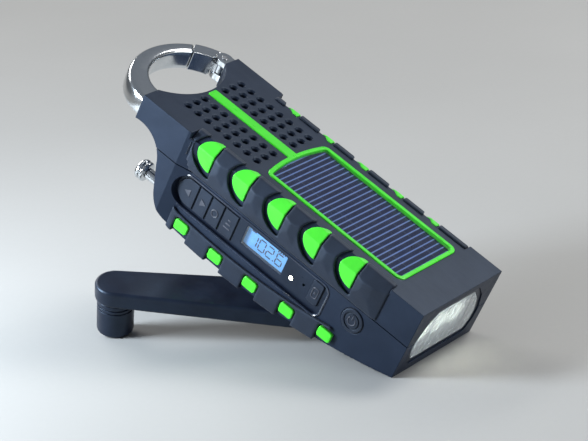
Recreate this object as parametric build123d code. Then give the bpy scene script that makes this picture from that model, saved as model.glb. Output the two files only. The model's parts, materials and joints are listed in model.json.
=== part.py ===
from build123d import *
import math
import os

# Hand-held emergency radio: rubber-armoured casing with a carabiner bow, solar panel, speaker,
# torch, side control panel, telescopic antenna and fold-out hand crank.
#
# Every sub-part is drawn in the casing's own axes: x to the right seen from the front,
# y from the front face to the back, z from the torch end to the carabiner.
# The last lines lay the radio down in its resting posture, leaning back on the crank knob,
# with +Z up and the origin on the ground below the middle of its bounding box.

# ---- resting posture ----
LEAN = 28.43                     # length axis above the ground, degrees

# ---- casing ----
HALF_WIDTH = 27.5
NECK_HALF_WIDTH = 30.0
HORN_TOP = 141.5
HORN_INNER = 21.5                # inner edge of each horn
HORN_DEPTH = 11.0
SADDLE_Z = 132.0                 # lowest point of the concave edge between the horns
FLARE_LOW = 110.5                # the sides flare out to the neck between these heights
FLARE_HIGH = 117.5
BACK_DEPTH = 44.0                # deepest point of the back
BACK_PEAK_Z = 84.0
BACK_CURVE = 0.0018              # the back falls away by this times height squared
SHOULDER_Y = 42.0
SHOULDER_Z = 118.9
SHOULDER_RADIUS = 15.0
WALL = 2.2
CAVITY_TOP = 127.3
PART_Y = 16.0                    # parting plane of the two shells
SEAM = 0.4                       # gap at the parting plane, filled by the gasket
FIT = 0.05                       # gap around a part fixed in a pocket
RUN = 0.06                       # radial clearance of a shaft in a bearing
SLOP = 0.2                       # gap around a part that moves by hand

# ---- edge pads and bumpers ----
PITCH = 18.3
FRONT_PAD_Z = 30.5               # flat side of the lowest half-disc pad
REAR_PAD_Z = 31.5
PAD_COUNT = 5
FRONT_PAD = (6.3, 8.1)           # half width across the edge, height along it
SCOOP = (8.5, 10.2)
BUMPER_LOW = 16.0
BUMPER_HIGH = 116.0
BUMPER_FRONT = 0.9               # how far a bumper stands in front of the front face
BUMPER_HALF_WIDTH = 29.7
BUMPER_BACK_Y = PART_Y - 0.4
RAIL_WIDTH = 8.2
RAIL_PROUD = 1.3
RAIL_LIP = 1.0
RAIL_INNER = 21.0
RAIL_LOW = 30.0
RAIL_HIGH = 112.0
REAR_PAD_SIZE = (4.5, 6.5)
REAR_PAD_INSET = 4.1             # pad centre in front of the back curve
NOTCH_REACH = 6.0                # how far a rail's notch runs on behind its pad

# ---- solar panel, stripe and speaker field ----
FRAME_HALF_WIDTH = 19.6
FRAME_LOW = 17.0
FRAME_HIGH = 85.5
FRAME_CROWN = 88.0
FRAME_BAND = 1.8
STRIPE_WIDTH = 5.0
STRIPE_TOP = 131.0
TRIM_PROUD = 0.5
SPEAKER_Z = 109.6
SPEAKER_R = 17.2
HOLE_COLUMNS = (6.6, 11.8, 17.0)
HOLE_ROWS = 8
HOLE_PITCH = 5.2
HOLE_Z = 92.6
HOLE_R = 1.15

# ---- torch ----
TORCH_HALF_WIDTHS = ((13.0, 4.3), (18.0, 9.3), (21.2, 17.0), (21.2, 21.5), (18.6, 26.6))
BEZEL_WALL = 1.5
BEZEL_LIP = 0.5
BEZEL_DEPTH = 13.0
LENS_Z = (0.2, 1.5, 3.2)          # front face, step behind the lip, back face
BOWL_PITCH = 11.2
BOWL_Y = 16.8
BOWL_MOUTH_R = 5.5
LED_R = 2.4
LED_BACK_Z = 12.8

# ---- carabiner ----
BOW_Y = (1.0, 10.4)
BOW_OUTER = (29.7, 22.6)         # half axes of the outer arch
BOW_INNER = (21.0, 16.2)
BOW_SHIFT = 2.0                  # the inner arch sits this far to the right
GATE_PIVOT = (26.0, 145.0)
GATE_REACH = 13.3
GATE_Y = (3.4, 7.2)

# ---- side control panel ----
PANEL_Y = (18.0, 32.0)
PANEL_Z = (38.0, 115.5)
PANEL_FACE = -26.3
PANEL_BACK = -24.7
PANEL_BUTTONS = (
    ("tune_up_button", 105.2, 114.6),
    ("tune_down_button", 98.7, 104.5),
    ("band_button", 91.9, 98.0),
    ("volume_button", 84.6, 91.2),
)
LCD_Y = (19.6, 28.4)
LCD_Z = (59.4, 80.3)
POWER_BUTTON = (22.4, 24.3)
POWER_BUTTON_R = 5.0
STATUS_LIGHT = (26.2, 54.9)

# ---- port side ----
PORT_Y = (18.6, 31.4)
PORT_Z = (50.0, 84.0)
PORT_DEPTH = 1.9
JACK_SPOTS = ((24.0, 72.5), (24.0, 80.0))
JACK_R = 1.8

# ---- crank ----
HUB_Z = 41.0
HUB_R = 11.0
PIVOT_Y = 44.4
HINGE_OFFSET = 8.0
ARM_SWING = 34.5                 # resting direction of the arm, degrees from +z towards -x
ARM_TILT = 17.8                  # how far the open arm leans out of the back
ARM_LENGTH = 80.0
ARM_HALF_THICK = 3.0             # towards the knob
ARM_BACK_THICK = 4.2             # away from the knob
ARM_ROOT_HALF = 11.4
ARM_END_HALF = 8.2
KNOB_R = 7.3
KNOB_END = 18.6
CHANNEL_HALF = 12.8
CHANNEL_Y = 38.0
CHANNEL_WALL = 1.8
HUB_RECESS_R = 21.0
POCKET_R = 8.3
POCKET_Y = 23.6
STOWED_KNOB_Z = HUB_Z + ARM_LENGTH - HINGE_OFFSET

# ---- generator gear train ----
MODULE = 0.8
DRIVE_TEETH = 40
IDLER_PINION_TEETH = 12
IDLER_WHEEL_TEETH = 32
ROTOR_TEETH = 10
IDLER_SPOT = (0.0, HUB_Z + MODULE * (DRIVE_TEETH + IDLER_PINION_TEETH) / 2)
ROTOR_ANGLE = 122.0              # direction from the idler to the rotor, degrees from +x
LEVEL_A = (32.0, 34.2)
LEVEL_B = (28.8, 31.0)
PLATE_Y = (26.0, 27.6)
SHAFT_R = 2.5

# ---- antenna ----
ANTENNA_X = -22.0
ANTENNA_Y = 34.0
TUBE_R = 3.0
SECTION_R = 2.3
ROD_R = 1.6
TUBE_WALL = 0.64
CAP_R = 4.3

# ---- screws ----
SCREW_SPOTS = ((-17.5, 20.0), (17.5, 20.0), (-16.0, 88.5), (16.0, 88.5))
SCREW_SEAT = 33.0
SCREW_TIP = 9.0
BOSS_R = 2.8


# ======== helpers ========

def block(x, y, z):
    """Box between the two limits given for each axis."""
    size = (x[1] - x[0], y[1] - y[0], z[1] - z[0])
    centre = ((x[0] + x[1]) / 2, (y[0] + y[1]) / 2, (z[0] + z[1]) / 2)
    return Pos(*centre) * Box(*size)


def rod_x(radius, x, y, z):
    span = x[1] - x[0]
    return Pos((x[0] + x[1]) / 2, y, z) * Rot(0, 90, 0) * Cylinder(radius, span)


def rod_y(radius, y, x, z):
    span = y[1] - y[0]
    return Pos(x, (y[0] + y[1]) / 2, z) * Rot(90, 0, 0) * Cylinder(radius, span)


def rod_z(radius, z, x, y):
    span = z[1] - z[0]
    return Pos(x, y, (z[0] + z[1]) / 2) * Cylinder(radius, span)


def across(face, x):
    """Extrude a (y, z) sketch between two x limits."""
    return extrude(Plane.YZ.offset(x[0]) * face, amount=x[1] - x[0])


def deep(face, y):
    """Extrude an (x, z) sketch between two y limits."""
    return extrude(Plane.XZ.offset(-y[1]) * face, amount=y[1] - y[0])


def tall(face, z):
    """Extrude an (x, y) sketch between two z limits."""
    return extrude(Plane.XY.offset(z[0]) * face, amount=z[1] - z[0])


def polygon(*points):
    return make_face(Polyline(*points, close=True))


def outward(side, low, high):
    """The x limits between two distances from the middle, on the left (-1) or right (+1)."""
    return (low, high) if side > 0 else (-high, -low)


def united(shapes):
    """Fuse a list of overlapping shapes."""
    first, *rest = shapes
    return first.fuse(*rest) if rest else first


def group(solids):
    """Several separate solids that make one node."""
    return Compound(children=[s.solid() if hasattr(s, "solid") else s for s in solids])


def back_y(z):
    """Depth of the back at height z, below the shoulder."""
    return BACK_DEPTH - BACK_CURVE * (BACK_PEAK_Z - z) ** 2


# ======== casing ========

def side_profile():
    """Side outline in (y, z): flat front, bulging back, sloping shoulder and thin neck."""
    back = ThreePointArc((back_y(0), 0), (back_y(60), 60), (SHOULDER_Y, SHOULDER_Z))
    shoulder = Line((SHOULDER_Y, SHOULDER_Z), (22.0, 125.2))
    neck = ThreePointArc((22.0, 125.2), (12.9, 131.2), (HORN_DEPTH, HORN_TOP))
    front = Polyline((HORN_DEPTH, HORN_TOP), (0, HORN_TOP), (0, 0), (back_y(0), 0))
    face = make_face(back + shoulder + neck + front)
    corner = face.vertices().sort_by_distance((SHOULDER_Y, SHOULDER_Z, 0))[0]
    return fillet(corner, SHOULDER_RADIUS)


def front_outline():
    """Front outline in (x, z): straight sides, flared neck, two horns with a saddle between."""
    half = (
        (HALF_WIDTH, 0),
        (HALF_WIDTH, FLARE_LOW),
        (NECK_HALF_WIDTH, FLARE_HIGH),
        (NECK_HALF_WIDTH, HORN_TOP),
        (HORN_INNER, HORN_TOP),
    )
    saddle = ThreePointArc((HORN_INNER, HORN_TOP), (0, SADDLE_Z), (-HORN_INNER, HORN_TOP))
    right = Polyline(*half)
    left = Polyline(*[(-x, z) for x, z in reversed(half)])
    floor = Line((-HALF_WIDTH, 0), (HALF_WIDTH, 0))
    return make_face(right + saddle + left + floor)


def crank_recess(grow, floor):
    """Channel, hub recess and knob pocket in the back, grown by a wall thickness."""
    back = BACK_DEPTH + 6
    channel = RectangleRounded(2 * (CHANNEL_HALF + grow), 100 + 2 * grow, 4)
    recess = deep(Pos(0, 20 + 50) * channel, (floor, back))
    recess += rod_y(HUB_RECESS_R + grow, (floor, back), 0, HUB_Z)
    return recess


def torch_outline(grow):
    right = [(x, y) for x, y in TORCH_HALF_WIDTHS]
    left = [(-x, y) for x, y in reversed(right)]
    face = fillet(polygon(*right, *left).vertices(), 1.6)
    return offset(face, amount=grow) if grow else face


def frame_outline(grow):
    """Outline of the trim frame round the solar panel, with a crowned top edge."""
    low = Polyline(
        (-FRAME_HALF_WIDTH, FRAME_HIGH),
        (-FRAME_HALF_WIDTH, FRAME_LOW),
        (FRAME_HALF_WIDTH, FRAME_LOW),
        (FRAME_HALF_WIDTH, FRAME_HIGH),
    )
    crown = ThreePointArc(
        (FRAME_HALF_WIDTH, FRAME_HIGH), (0, FRAME_CROWN), (-FRAME_HALF_WIDTH, FRAME_HIGH)
    )
    face = make_face(low + crown)
    face = fillet(face.vertices(), 3.2)
    return offset(face, amount=grow) if grow else face


def stripe_outline(grow):
    height = STRIPE_TOP - FRAME_HIGH
    stripe = RectangleRounded(STRIPE_WIDTH + 2 * grow, height + 2 * grow, 0.8)
    return Pos(0, STRIPE_TOP - height / 2) * stripe


def panel_outline(grow):
    """Side panel outline in (y, z): round at the top, small corners at the bottom."""
    width = PANEL_Y[1] - PANEL_Y[0]
    height = PANEL_Z[1] - PANEL_Z[0]
    centre = (PANEL_Y[0] + PANEL_Y[1]) / 2
    face = Pos(centre, PANEL_Z[0] + height / 2) * Rectangle(width, height)
    top = face.vertices().group_by(Axis.Y)[-1]
    face = fillet(top, width / 2 - 0.2)
    bottom = face.vertices().group_by(Axis.Y)[0]
    face = fillet(bottom, 3)
    return offset(face, amount=grow) if grow else face


def button_band(low, high, grow):
    """One panel button's outline: a slice of the inset panel outline."""
    inset = panel_outline(grow - 1.3)
    middle = (low + high) / 2
    slice_face = Pos(25, middle) * Rectangle(20, high - low + 2 * grow)
    return inset & slice_face


def casing_solid():
    """The whole outer form of the casing before it is hollowed and split."""
    body = across(side_profile(), (-32, 32)) & deep(front_outline(), (-1, 60))
    for side in (-1, 1):
        bevel = polygon(
            (24.8 * side, -1),
            (24.8 * side, 0),
            (HALF_WIDTH * side, 3.0),
            (32 * side, 3.0),
            (32 * side, -1),
        )
        body -= tall(bevel, (BUMPER_LOW, BUMPER_HIGH + 0.4))
    return body


def casing_walls(body):
    """Hollow the casing, keeping the crank's channel, recess and pocket walled off."""
    inner = across(offset(side_profile(), amount=-WALL), (WALL - HALF_WIDTH, HALF_WIDTH - WALL))
    inner &= block((-40, 40), (0, 60), (0, CAVITY_TOP))
    inner -= crank_recess(CHANNEL_WALL, CHANNEL_Y - CHANNEL_WALL)
    inner -= rod_y(POCKET_R + 1.6, (POCKET_Y - 1.6, 60), 0, STOWED_KNOB_Z)
    for side in (-1, 1):
        front_corner = polygon(
            (22.6 * side, 0), (22.6 * side, 2.4), (24.6 * side, 5.0), (32 * side, 5.0), (32 * side, 0)
        )
        inner -= tall(front_corner, (BUMPER_LOW - 2, BUMPER_HIGH + 2))
    walls = body - inner
    walls -= crank_recess(0, CHANNEL_Y)
    walls -= rod_y(POCKET_R, (POCKET_Y, 60), 0, STOWED_KNOB_Z)
    walls -= tall(torch_outline(BEZEL_WALL + FIT), (-1, BEZEL_DEPTH + 0.2))
    return walls


def bow_tang_pocket():
    """Pocket in the left horn for the bow's tang and in the right horn for the bracket."""
    left = block((-28.4, -20.4), BOW_Y, (135.0, HORN_TOP + 1))
    right = block((22.6, 29.4), BOW_Y, (135.0, HORN_TOP + 1))
    return left, right


def front_shell(walls):
    shell = walls & block((-40, 40), (-1, PART_Y - SEAM / 2), (-1, 160))
    shell -= deep(frame_outline(0.08), (-1, 1.7))
    shell -= deep(stripe_outline(FIT), (-1, 1.05))
    holes = []
    for row in range(HOLE_ROWS):
        for column in HOLE_COLUMNS:
            for side in (-1, 1):
                spot = (side * column, HOLE_Z + row * HOLE_PITCH)
                holes.append(rod_y(HOLE_R, (-1, 4), *spot))
                sink = Pos(spot[0], 0.35, spot[1]) * Rot(90, 0, 0)
                holes.append(sink * Cone(HOLE_R, HOLE_R + 0.8, 0.8))
    shell -= holes
    for x, z in SCREW_SPOTS:
        shell += rod_y(BOSS_R, (WALL - 0.3, PART_Y - SEAM / 2), x, z)
        shell -= rod_y(1.25, (SCREW_TIP - 1, PART_Y), x, z)
    for x in (-18, 18):
        for z in (32, 78):
            shell += rod_y(2.0, (WALL - 0.3, 12.35), x, z)
    for pocket in bow_tang_pocket():
        shell -= pocket
    return shell


def rear_shell(walls):
    shell = walls & block((-40, 40), (PART_Y + SEAM / 2, 60), (-1, 160))
    port_wall = block((23.0, 25.6), (17.4, 32.6), (48.0, 86.0))
    shell += port_wall
    for x, z in SCREW_SPOTS:
        shell += rod_y(BOSS_R, (PART_Y + SEAM / 2, back_y(z) - 1), x, z)
    for x, z in SCREW_SPOTS:
        shell -= rod_y(1.25, (PART_Y - 1, 60), x, z)
        shell -= rod_y(2.5, (SCREW_SEAT, 60), x, z)
    shell -= rod_y(4.52, (30, CHANNEL_Y + 1), 0, HUB_Z)
    shell -= across(panel_outline(FIT), (-32, -24))
    shell -= rod_x(POWER_BUTTON_R + SLOP, (-32, -24), *POWER_BUTTON)
    shell -= rod_z(TUBE_R + FIT, (60, 130), ANTENNA_X, ANTENNA_Y)
    cover = Pos(sum(PORT_Y) / 2, sum(PORT_Z) / 2) * RectangleRounded(
        PORT_Y[1] - PORT_Y[0], PORT_Z[1] - PORT_Z[0], 2
    )
    shell -= across(cover, (HALF_WIDTH - PORT_DEPTH, 32))
    shell -= block((20, 30), (21.2, 26.8), (53.4, 66.6))
    for y, z in JACK_SPOTS:
        shell -= rod_x(3.05, (20, 30), y, z)
    return shell


def shell_gasket(walls):
    slab = block((-40, 40), (PART_Y - SEAM / 2, PART_Y + SEAM / 2), (0.8, 127.0))
    ring = walls & slab
    ring &= block((-HALF_WIDTH + 0.8, HALF_WIDTH - 0.8), (0, 60), (0, 160))
    return ring.solids().sort_by(SortBy.VOLUME)[-1]


def shell_screws():
    screws = []
    for x, z in SCREW_SPOTS:
        shank = rod_y(1.2, (SCREW_TIP, SCREW_SEAT + 0.5), x, z)
        head = rod_y(2.3, (SCREW_SEAT, SCREW_SEAT + 1.8), x, z)
        slot = block((x - 1.6, x + 1.6), (SCREW_SEAT + 1.0, SCREW_SEAT + 3), (z - 0.3, z + 0.3))
        cross = block((x - 0.3, x + 0.3), (SCREW_SEAT + 1.0, SCREW_SEAT + 3), (z - 1.6, z + 1.6))
        screws.append(shank + head - slot - cross)
    return group(screws)


# ======== rubber bumpers and green pads ========

PAD_CENTRE = (27.2, 4.6)         # middle of a half-disc pad across the front edge
PAD_TURN = 25.0                  # its face turned from sideways towards the front, degrees


def half_disc(side, size, base_z, tail=0.0):
    """Arched prism through a front edge; size is its half width and its height towards the bow."""
    turn = math.radians(PAD_TURN)
    normal = (side * math.cos(turn), -math.sin(turn), 0)
    wrap = (side * math.sin(turn), math.cos(turn), 0)
    origin = (side * PAD_CENTRE[0], PAD_CENTRE[1], base_z)
    plane = Plane(origin=origin, x_dir=wrap, z_dir=normal)
    up = 1 if plane.y_dir.Z > 0 else -1
    half, height = size
    arch = Ellipse(half, height) - Pos(0, -up * height) * Rectangle(3 * half, 2 * height)
    if tail:
        arch += Pos(0, -up * tail / 2) * Rectangle(2 * half, tail)
    return extrude(plane * arch, amount=12) + extrude(plane * arch, amount=-10)


def bumper_bulge(side):
    """Outline of a bumper's outer edge in (x, z): one bulge between each pair of pads."""
    edge = BUMPER_HALF_WIDTH
    points = [(20, BUMPER_LOW), (HALF_WIDTH + 0.5, BUMPER_LOW), (edge - 0.3, BUMPER_LOW + 6)]
    for i in range(PAD_COUNT):
        flat = FRONT_PAD_Z + i * PITCH
        points.append((edge, flat - 4))
        points.append((edge - 0.7, flat))
        points.append((edge - 0.7, flat + SCOOP[1]))
    points.append((edge, BUMPER_HIGH))
    points.append((20, BUMPER_HIGH))
    return polygon(*[(side * x, z) for x, z in points])


def edge_strip(side, *section):
    """Strip along a front edge with the given section in (distance from the middle, y)."""
    face = polygon(*[(side * x, y) for x, y in section])
    return tall(face, (BUMPER_LOW, BUMPER_HIGH))


def front_bumper(side, body):
    """Rubber strip over a front edge, scooped out round each half-disc pad."""
    strip = edge_strip(
        side,
        (23.2, 0.0),
        (23.6, -BUMPER_FRONT),
        (25.6, -BUMPER_FRONT),
        (BUMPER_HALF_WIDTH, 4.0),
        (BUMPER_HALF_WIDTH, 8.0),
        (28.4, BUMPER_BACK_Y),
        (26.0, BUMPER_BACK_Y),
        (22.0, 0.0),
    )
    strip &= deep(bumper_bulge(side), (-5, 30))
    for i in range(PAD_COUNT):
        strip -= half_disc(side, SCOOP, FRONT_PAD_Z + i * PITCH, tail=0.7)
    strip -= body
    return strip.solids().sort_by(SortBy.VOLUME)[-1]


def front_edge_pads(body):
    pads = []
    for side in (-1, 1):
        skin = edge_strip(
            side, (23.0, 0.0), (23.4, -0.55), (25.4, -0.55), (28.8, 3.6), (28.8, 14.5), (26.0, 14.5)
        )
        skin -= body
        for i in range(PAD_COUNT):
            pads.append(skin & half_disc(side, FRONT_PAD, FRONT_PAD_Z + i * PITCH))
    return group(pads)


def rear_pad_spots():
    for i in range(PAD_COUNT):
        z = REAR_PAD_Z + i * (PITCH + 0.1)
        yield back_y(z) - REAR_PAD_INSET, z


def rear_bumper(side, body):
    """Rubber rail over a rear edge, notched from behind round each rear pad."""
    profile = side_profile()
    inside = offset(profile, amount=-RAIL_WIDTH)
    outside = offset(profile, amount=RAIL_LIP)
    rail = across(outside - inside, outward(side, RAIL_INNER, HALF_WIDTH + RAIL_PROUD))
    rail &= block((-40, 40), (24, 60), (RAIL_LOW, RAIL_HIGH))
    for y, z in rear_pad_spots():
        depth = REAR_PAD_SIZE[0] + 1.0 + NOTCH_REACH
        notch = RectangleRounded(depth, REAR_PAD_SIZE[1] + 1.0, 1.2)
        rail -= across(Pos(y + NOTCH_REACH / 2, z) * notch, outward(side, 20, 40))
    rail -= body
    return rail.solids().sort_by(SortBy.VOLUME)[-1]


def rear_edge_pads():
    pads = []
    for y, z in rear_pad_spots():
        face = Pos(y, z) * RectangleRounded(*REAR_PAD_SIZE, 1.0)
        for side in (-1, 1):
            pads.append(across(face, outward(side, HALF_WIDTH, HALF_WIDTH + RAIL_PROUD + 0.2)))
    return group(pads)


# ======== solar panel, trim and speaker ========

def green_trim():
    ring = frame_outline(0) - frame_outline(-FRAME_BAND)
    trim = deep(ring, (-TRIM_PROUD, 1.6))
    stripe = stripe_outline(0) - frame_outline(-FRAME_BAND)
    trim += deep(stripe, (-TRIM_PROUD, 1.0))
    crest = trim.faces().sort_by(Axis.Y)[0].edges()
    return chamfer(crest, 0.25)


def solar_cell():
    return deep(frame_outline(-FRAME_BAND - 0.1), (1.0, 1.6))


def solar_window():
    return deep(frame_outline(-FRAME_BAND - 0.1), (0.05, 0.95))


def speaker_cloth():
    return block((-19.4, 19.4), (WALL + 0.05, WALL + 0.35), (92.0, 127.0))


def speaker_basket():
    y = WALL + 0.4
    rim = rod_y(SPEAKER_R, (y, y + 1.4), 0, SPEAKER_Z)
    bowl = Pos(0, y + 5.2, SPEAKER_Z) * Rot(90, 0, 0) * Cone(9.4, 15.6, 8.0)
    hollow = Pos(0, y + 4.6, SPEAKER_Z) * Rot(90, 0, 0) * Cone(8.6, 14.8, 8.0)
    shape = rim + bowl - hollow - rod_y(14.7, (y - 1, y + 1), 0, SPEAKER_Z)
    shape -= rod_y(4.6, (0, 20), 0, SPEAKER_Z)
    for i in range(4):
        angle = math.radians(45 + 90 * i)
        spot = (12 * math.cos(angle), SPEAKER_Z + 12 * math.sin(angle))
        shape -= rod_y(2.4, (y + 2, 20), *spot)
    return shape


def speaker_cone():
    y = WALL + 0.8
    outer = Pos(0, y + 1.9, SPEAKER_Z) * Rot(90, 0, 0) * Cone(6.4, 13.6, 3.6)
    inner = Pos(0, y + 1.5, SPEAKER_Z) * Rot(90, 0, 0) * Cone(6.0, 13.2, 3.6)
    cap = Pos(0, y + 5.4, SPEAKER_Z) * Sphere(5.2)
    cap &= rod_y(6.4, (y, y + 3.7), 0, SPEAKER_Z)
    return outer - inner + cap


def speaker_magnet():
    y = WALL + 9.7
    return rod_y(9.0, (y, y + 4.0), 0, SPEAKER_Z)


# ======== torch ========

def torch_bezel():
    wall = torch_outline(BEZEL_WALL) - torch_outline(0)
    lip = torch_outline(BEZEL_WALL) - torch_outline(-BEZEL_LIP)
    return tall(wall, (0.5, BEZEL_DEPTH)) + tall(lip, (0.5, 1.4))


def torch_lens():
    front, step, back = LENS_Z
    flange = tall(torch_outline(-0.1), (step - 0.05, back))
    face = tall(torch_outline(-BEZEL_LIP - 0.1), (front, step))
    return flange + chamfer(face.faces().sort_by(Axis.Z)[0].edges(), 0.4)


def bowl_spots():
    for x in (-BOWL_PITCH, 0.0, BOWL_PITCH):
        yield x, BOWL_Y


def torch_reflector():
    mirror = tall(torch_outline(-0.15), (LENS_Z[2] + 0.1, 12.4))
    throat = LED_R + 0.2
    for x, y in bowl_spots():
        mirror -= Pos(x, y, 7.3) * Cone(BOWL_MOUTH_R, throat, 8.02)
        mirror -= rod_z(throat, (11, 13), x, y)
    return mirror


def torch_leds():
    leds = []
    for x, y in bowl_spots():
        leds.append(rod_z(LED_R, (10.2, LED_BACK_Z), x, y) + Pos(x, y, 10.2) * Sphere(LED_R))
    return group(leds)


def torch_board():
    return tall(torch_outline(-0.3), (LED_BACK_Z + 0.05, 14.3))


# ======== carabiner ========

def bow_band():
    """Region between the outer and inner arches in (x, z), above the horns."""
    outer = Pos(0, HORN_TOP) * Ellipse(*BOW_OUTER)
    inner = Pos(BOW_SHIFT, HORN_TOP) * Ellipse(*BOW_INNER)
    above = Pos(0, HORN_TOP + 20.05) * Rectangle(80, 40)
    return (outer - inner) & above


def at_pivot(face):
    return Pos(*GATE_PIVOT) * face


def carabiner_bow():
    hook = bow_band() - at_pivot(Circle(GATE_REACH + 0.25))
    hook = hook.faces().sort_by(SortBy.AREA)[-1]
    bow = deep(hook, BOW_Y)
    rims = bow.faces().filter_by(Axis.Y).edges().filter_by(GeomType.ELLIPSE)
    bow = chamfer(rims, 1.0)
    tang = block((-28.3, -20.5), (BOW_Y[0] + FIT, BOW_Y[1] - FIT), (135.1, HORN_TOP + 0.6))
    return bow + tang


def gate_bracket():
    """Forked metal foot on the right horn that carries the gate's pin."""
    x, z = GATE_PIVOT
    cheek = Pos(x, (z + HORN_TOP) / 2 - 0.2) * Rectangle(6.7, z - HORN_TOP + 0.4)
    cheek += at_pivot(Circle(3.6))
    fork = deep(cheek, BOW_Y)
    fork -= block((x - 6, x + 6), (GATE_Y[0] - 0.15, GATE_Y[1] + 0.15), (HORN_TOP - 0.1, z + 8))
    foot = block((22.7, 29.3), (BOW_Y[0] + FIT, BOW_Y[1] - FIT), (135.1, HORN_TOP))
    bracket = fork + foot
    return bracket - rod_y(1.32, (0, 12), x, z)


def carabiner_gate():
    x, z = GATE_PIVOT
    reach = bow_band() & at_pivot(Circle(GATE_REACH))
    arm = reach & (Pos(x, z + 20) * Rectangle(40, 40))
    gate = deep(arm + at_pivot(Circle(3.3)), GATE_Y)
    wide = reach & (Pos(x, z + 22.8) * Rectangle(40, 40))
    wide -= at_pivot(Circle(4.0))
    gate += deep(wide, (BOW_Y[0] + 0.4, BOW_Y[1] - 0.4))
    gate -= rod_y(1.3 + RUN, (0, 12), x, z)
    gate -= rod_y(2.5, (5.5, 12), x, z)
    return gate


def gate_pin():
    x, z = GATE_PIVOT
    return rod_y(1.3, (BOW_Y[0] - 0.2, BOW_Y[1] + 0.2), x, z)


def gate_spring():
    x, z = GATE_PIVOT
    return rod_y(2.35, (5.6, 7.1), x, z) - rod_y(1.45, (5, 8), x, z)


# ======== side control panel ========

def control_panel():
    plate = across(panel_outline(0), (PANEL_FACE, PANEL_BACK))
    for _, low, high in PANEL_BUTTONS:
        plate -= across(button_band(low, high, 0.12), (-30, -20))
    lcd = Pos(sum(LCD_Y) / 2, sum(LCD_Z) / 2) * RectangleRounded(
        LCD_Y[1] - LCD_Y[0], LCD_Z[1] - LCD_Z[0], 0.6
    )
    plate -= across(lcd, (-30, -20))
    plate -= across(lamp_outline(0.12), (-30, -20))
    plate -= rod_x(0.95, (-30, -20), *STATUS_LIGHT)
    plate -= rod_x(0.6, (-30, -20), 24.8, 48.8)
    return plate


def lamp_outline(grow):
    return Pos(24.0, 43.0) * RectangleRounded(10 + 2 * grow, 5.4 + 2 * grow, 1 + grow)


def pressed_button(cap, flange):
    """Button with a cap through the panel and a flange that keeps it in."""
    solid = across(cap, (PANEL_FACE - 0.6, PANEL_BACK + 0.3))
    rim = solid.faces().sort_by(Axis.X)[0].edges()
    solid = chamfer(rim, 0.25)
    return solid + across(flange, (PANEL_BACK + 0.1, PANEL_BACK + 0.6))


def panel_button(low, high):
    return pressed_button(button_band(low, high, 0), button_band(low, high, 0.25))


def lamp_button():
    return pressed_button(lamp_outline(0), lamp_outline(0.6))


def power_button():
    y, z = POWER_BUTTON
    skin = -HALF_WIDTH
    cap = rod_x(POWER_BUTTON_R, (skin - 0.5, skin + WALL + 0.4), y, z)
    cap = fillet(cap.faces().sort_by(Axis.X)[0].edges(), 0.4)
    groove = rod_x(3.6, (skin - 1, skin - 0.1), y, z) - rod_x(3.0, (skin - 2, skin + 1), y, z)
    flange = rod_x(POWER_BUTTON_R + 0.8, (skin + WALL + 0.1, skin + WALL + 0.8), y, z)
    return cap - groove + flange


def lcd_window():
    face = Pos(sum(LCD_Y) / 2, sum(LCD_Z) / 2) * RectangleRounded(
        LCD_Y[1] - LCD_Y[0] - 0.1, LCD_Z[1] - LCD_Z[0] - 0.1, 0.55
    )
    return across(face, (PANEL_FACE + 0.1, PANEL_BACK - 0.1))


def lcd_module():
    return block((-24.65, -22.5), (18.9, 29.0), (58.4, 81.3))


def status_light():
    rod = rod_x(0.9, (PANEL_FACE - 0.1, -22.4), *STATUS_LIGHT)
    return fillet(rod.faces().sort_by(Axis.X)[0].edges(), 0.4)


def control_board():
    return block((-22.3, -20.9), (17.5, 30.0), (41.0, 112.0))


# ======== port side ========

def port_cover():
    width = PORT_Y[1] - PORT_Y[0] - 0.4
    height = PORT_Z[1] - PORT_Z[0] - 0.4
    face = Pos(sum(PORT_Y) / 2, sum(PORT_Z) / 2) * RectangleRounded(width, height, 1.8)
    cover = across(face, (HALF_WIDTH - PORT_DEPTH + 0.1, HALF_WIDTH + 0.1))
    tab = Pos(PORT_Y[0] + 2.2, sum(PORT_Z) / 2) * RectangleRounded(1.2, 12, 0.5)
    return cover + across(tab, (HALF_WIDTH, HALF_WIDTH + 0.7))


def usb_socket():
    shell = block((15.8, 25.5), (21.3, 26.7), (53.5, 66.5))
    mouth = block((17.0, 26), (21.8, 26.2), (54.0, 66.0))
    tongue = block((16.5, 24.5), (22.2, 23.8), (54.6, 65.4))
    return shell - mouth + tongue


def audio_jacks():
    jacks = []
    for y, z in JACK_SPOTS:
        body = rod_x(3.0, (22.0, 25.5), y, z) + block((15.5, 22.6), (y - 3, y + 3), (z - 3, z + 3))
        jacks.append(body - rod_x(JACK_R, (16.5, 26), y, z))
    return group(jacks)


# ======== boards and battery ========

def main_board():
    board = block((-21.5, 21.5), (12.4, 14.0), (25.0, 84.5))
    for x, z in ((-12, 34), (8, 40), (-4, 52), (10, 60), (-11, 74), (12, 77)):
        board += block((x - 3.4, x + 3.4), (11.0, 12.5), (z - 2.6, z + 2.6))
    return board


def battery_pack():
    pack = block((-13.0, 13.0), (14.4, 25.2), (25.5, 59.0))
    return fillet(pack.edges().filter_by(Axis.Z), 3)


def ferrite_rod():
    rod = rod_x(3.0, (-19.5, 19.5), 27.5, 96.5)
    coil = rod_x(4.0, (-12.0, -3.0), 27.5, 96.5)
    return rod + coil


# ======== generator and gears ========

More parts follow.
